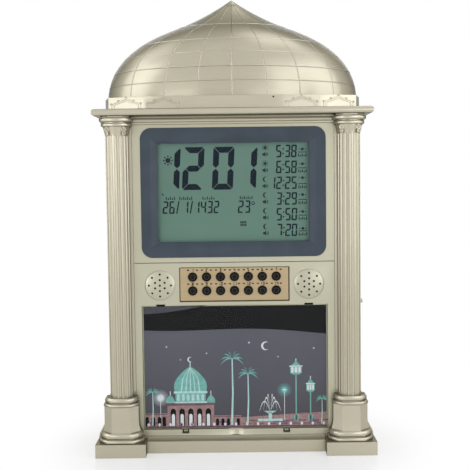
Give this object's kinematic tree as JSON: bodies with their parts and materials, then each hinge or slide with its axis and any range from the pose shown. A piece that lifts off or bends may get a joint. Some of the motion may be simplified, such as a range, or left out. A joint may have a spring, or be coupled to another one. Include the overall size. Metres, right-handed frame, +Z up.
{
  "type": "azan clock",
  "caption": "Mosque-shaped table clock with an ogee dome, fluted side columns, a large digital display, round keys, speaker grilles and a picture window.",
  "frame": {"origin": "middle of the footprint on the table", "axes": "+Z up; the dial faces -Y; +X to the right of someone reading it"},
  "size_m": [0.2008, 0.072, 0.3348],
  "materials": {
    "champagne_paint": "satin champagne metallic paint",
    "champagne_panel": "satin champagne metallic paint",
    "slate_bezel": "satin slate blue-grey",
    "clear_window": "clear, polished",
    "lcd": "reflective liquid crystal display",
    "white_plastic": "plain moulded",
    "grey_rubber": "matt",
    "circuit_board": "solder mask",
    "black_plastic": "plain moulded",
    "gold_plate": "tan gold, brushed",
    "printed_card": "glossy print",
    "bright_steel": "plated",
    "cone_paper": "felted paper",
    "cell_jacket": "glossy jacket",
    "black_keys": "gloss black"
  },
  "bodies": {
    "housing": {"back_cover": "champagne_panel", "battery_cell_1": "cell_jacket", "battery_cell_2": "cell_jacket", "battery_cell_3": "cell_jacket", "battery_contacts": "bright_steel", "board_parts": "black_plastic", "board_screws": "bright_steel", "case_screws": "bright_steel", "display_bezel": "slate_bezel", "display_window": "clear_window", "dome_shell": "champagne_paint", "front_case": "champagne_paint", "key_board": "circuit_board", "key_plate": "gold_plate", "key_switches": "black_plastic", "lcd_backlight": "white_plastic", "lcd_glass": "lcd", "lcd_holder": "white_plastic", "left_column": "champagne_paint", "left_speaker_basket": "bright_steel", "left_speaker_cone": "cone_paper", "lower_panel": "champagne_panel", "main_board": "circuit_board", "parapet": "champagne_paint", "picture_card": "printed_card", "right_column": "champagne_paint", "right_speaker_basket": "bright_steel", "right_speaker_cone": "cone_paper", "side_switch": "black_plastic", "upper_panel": "champagne_panel", "zebra_connector": "grey_rubber"},
    "picture_cover": {"picture_cover": "clear_window"},
    "battery_door": {"battery_door": "champagne_panel"},
    "side_button": {"side_button": "champagne_panel"},
    "key_01": {"key_01": "black_keys"},
    "key_02": {"key_02": "black_keys"},
    "key_03": {"key_03": "black_keys"},
    "key_04": {"key_04": "black_keys"},
    "key_05": {"key_05": "black_keys"},
    "key_06": {"key_06": "black_keys"},
    "key_07": {"key_07": "black_keys"},
    "key_08": {"key_08": "black_keys"},
    "key_09": {"key_09": "black_keys"},
    "key_10": {"key_10": "black_keys"},
    "key_11": {"key_11": "black_keys"},
    "key_12": {"key_12": "black_keys"},
    "key_13": {"key_13": "black_keys"},
    "key_14": {"key_14": "black_keys"}
  },
  "joints": [
    {"name": "key_01_press", "type": "slide", "parent": "housing", "child": "key_01", "axis": [0, 1, 0], "range_m": [0, 0.0005], "stiffness_N_per_m": 300},
    {"name": "key_02_press", "type": "slide", "parent": "housing", "child": "key_02", "axis": [0, 1, 0], "range_m": [0, 0.0005], "stiffness_N_per_m": 300},
    {"name": "key_03_press", "type": "slide", "parent": "housing", "child": "key_03", "axis": [0, 1, 0], "range_m": [0, 0.0005], "stiffness_N_per_m": 300},
    {"name": "key_04_press", "type": "slide", "parent": "housing", "child": "key_04", "axis": [0, 1, 0], "range_m": [0, 0.0005], "stiffness_N_per_m": 300},
    {"name": "key_05_press", "type": "slide", "parent": "housing", "child": "key_05", "axis": [0, 1, 0], "range_m": [0, 0.0005], "stiffness_N_per_m": 300},
    {"name": "key_06_press", "type": "slide", "parent": "housing", "child": "key_06", "axis": [0, 1, 0], "range_m": [0, 0.0005], "stiffness_N_per_m": 300},
    {"name": "key_07_press", "type": "slide", "parent": "housing", "child": "key_07", "axis": [0, 1, 0], "range_m": [0, 0.0005], "stiffness_N_per_m": 300},
    {"name": "key_08_press", "type": "slide", "parent": "housing", "child": "key_08", "axis": [0, 1, 0], "range_m": [0, 0.0005], "stiffness_N_per_m": 300},
    {"name": "key_09_press", "type": "slide", "parent": "housing", "child": "key_09", "axis": [0, 1, 0], "range_m": [0, 0.0005], "stiffness_N_per_m": 300},
    {"name": "key_10_press", "type": "slide", "parent": "housing", "child": "key_10", "axis": [0, 1, 0], "range_m": [0, 0.0005], "stiffness_N_per_m": 300},
    {"name": "key_11_press", "type": "slide", "parent": "housing", "child": "key_11", "axis": [0, 1, 0], "range_m": [0, 0.0005], "stiffness_N_per_m": 300},
    {"name": "key_12_press", "type": "slide", "parent": "housing", "child": "key_12", "axis": [0, 1, 0], "range_m": [0, 0.0005], "stiffness_N_per_m": 300},
    {"name": "key_13_press", "type": "slide", "parent": "housing", "child": "key_13", "axis": [0, 1, 0], "range_m": [0, 0.0005], "stiffness_N_per_m": 300},
    {"name": "key_14_press", "type": "slide", "parent": "housing", "child": "key_14", "axis": [0, 1, 0], "range_m": [0, 0.0005], "stiffness_N_per_m": 300},
    {"name": "picture_cover_swing", "type": "hinge", "parent": "housing", "child": "picture_cover", "pos_m": [0, -0.01885, 0.1069], "axis": [-1, 0, 0], "range_deg": [0, 28]},
    {"name": "battery_door_swing", "type": "hinge", "parent": "housing", "child": "battery_door", "pos_m": [0, 0.03525, 0.08115], "axis": [1, 0, 0], "range_deg": [0, 75]},
    {"name": "side_button_press", "type": "slide", "parent": "housing", "child": "side_button", "axis": [-1, 0, 0], "range_m": [0, 0.0008], "stiffness_N_per_m": 300}
  ]
}
